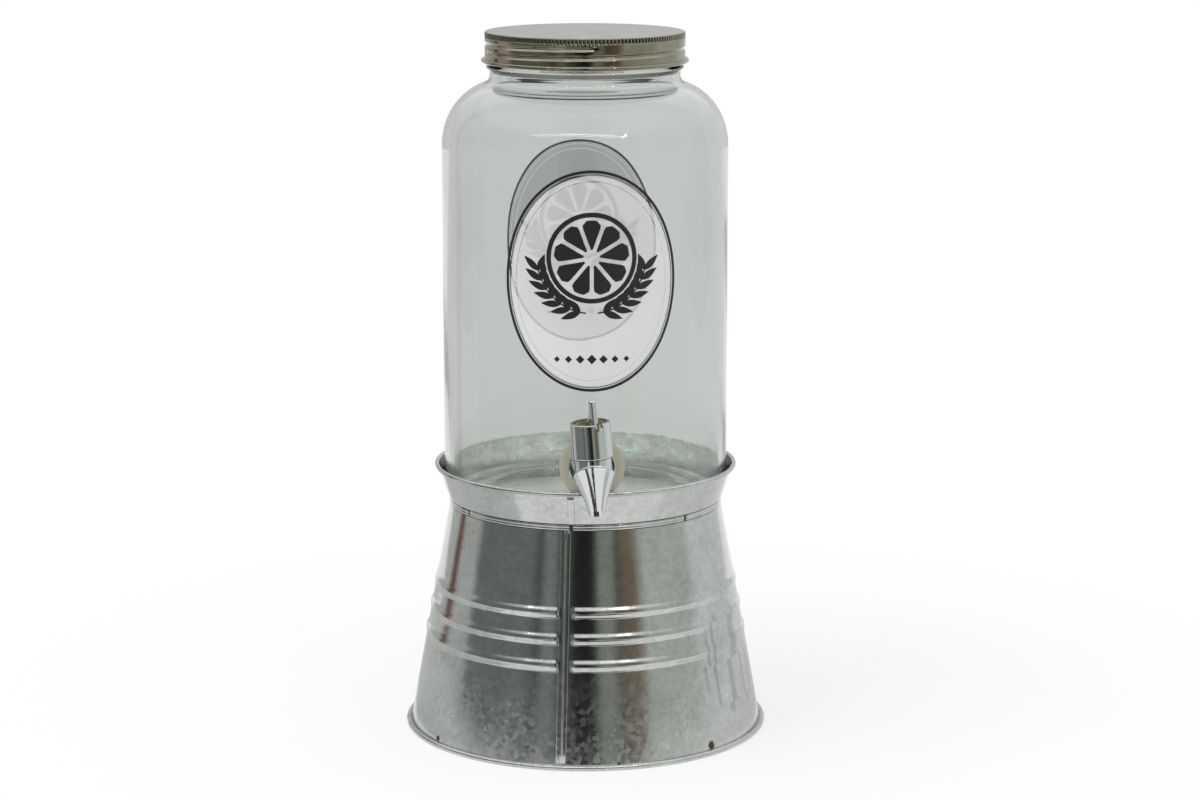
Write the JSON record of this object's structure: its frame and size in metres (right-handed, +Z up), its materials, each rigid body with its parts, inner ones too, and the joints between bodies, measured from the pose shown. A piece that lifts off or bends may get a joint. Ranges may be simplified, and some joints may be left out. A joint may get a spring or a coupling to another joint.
{
  "type": "drink dispenser",
  "caption": "Glass screw-top jar with a lever tap, standing in the flared tray of a conical galvanised stand; liquid drains by gravity.",
  "frame": {"origin": "centre of the stand's rolled base rim, on the surface that it rests on", "axes": "+Z up along the jar's axis, -Y towards the tap, +X to the right seen from the tap's side"},
  "size_m": [0.2092, 0.2223, 0.4008],
  "materials": {
    "galvanised": "hot-dip galvanised sheet, bright, lightly scratched",
    "steel_wire": "drawn steel wire",
    "glass": "pressed soda-lime glass, grey-green tint",
    "tinplate": "satin tinplate, warm grey",
    "liner": "matt foamed liner",
    "silicone": "translucent cream silicone",
    "chrome": "bright chrome plating",
    "white_plastic": "natural moulded acetal",
    "black_rubber": "matt black rubber"
  },
  "bodies": {
    "stand": {"stand_skirt": "galvanised", "base_rim_wire": "steel_wire", "tray_floor": "galvanised", "tray_ring": "galvanised", "tray_rim_wire": "steel_wire", "crimp_band": "galvanised"},
    "jar": {"jar_glass": "glass", "outer_gasket": "silicone", "inner_gasket": "silicone", "shank_nut": "white_plastic", "tap_body": "chrome", "bonnet_seal": "silicone", "tap_bonnet": "chrome", "stem_gland": "white_plastic", "stem_oring": "black_rubber", "valve_spring": "steel_wire"},
    "valve": {"valve_stem": "white_plastic", "valve_plug": "silicone", "lever_pin": "steel_wire"},
    "lever": {"tap_lever": "chrome"},
    "lid_seal": {"lid_liner": "liner"},
    "lid": {"lid_shell": "tinplate"}
  },
  "joints": [
    {"name": "jar_lift", "type": "slide", "parent": "stand", "child": "jar", "axis": [0, 0, 1], "range_m": [0, 0.06]},
    {"name": "lid_rise", "type": "slide", "parent": "jar", "child": "lid_seal", "axis": [0, 0, 1], "range_m": [0, 0.0204]},
    {"name": "lid_turn", "type": "hinge", "parent": "lid_seal", "child": "lid", "pos_m": [0, 0, 0.3833], "axis": [0, 0, 1], "range_deg": [0, 1440]},
    {"name": "valve_rise", "type": "slide", "parent": "jar", "child": "valve", "axis": [-0.075, 0, 0.9972], "range_m": [0, 0.00401], "deforming": ["valve_spring"]},
    {"name": "lever_swing", "type": "hinge", "parent": "valve", "child": "lever", "pos_m": [-0.00206, -0.1061, 0.19527], "axis": [0.911, 0.4067, 0.0685], "range_deg": [0, 65]}
  ],
  "couplings": [
    {"joint": "lid_rise", "follows": "lid_turn", "m_per_rad": 0.00080851},
    {"joint": "valve_rise", "follows": "lever_swing", "m_per_rad": 0.0035259}
  ]
}
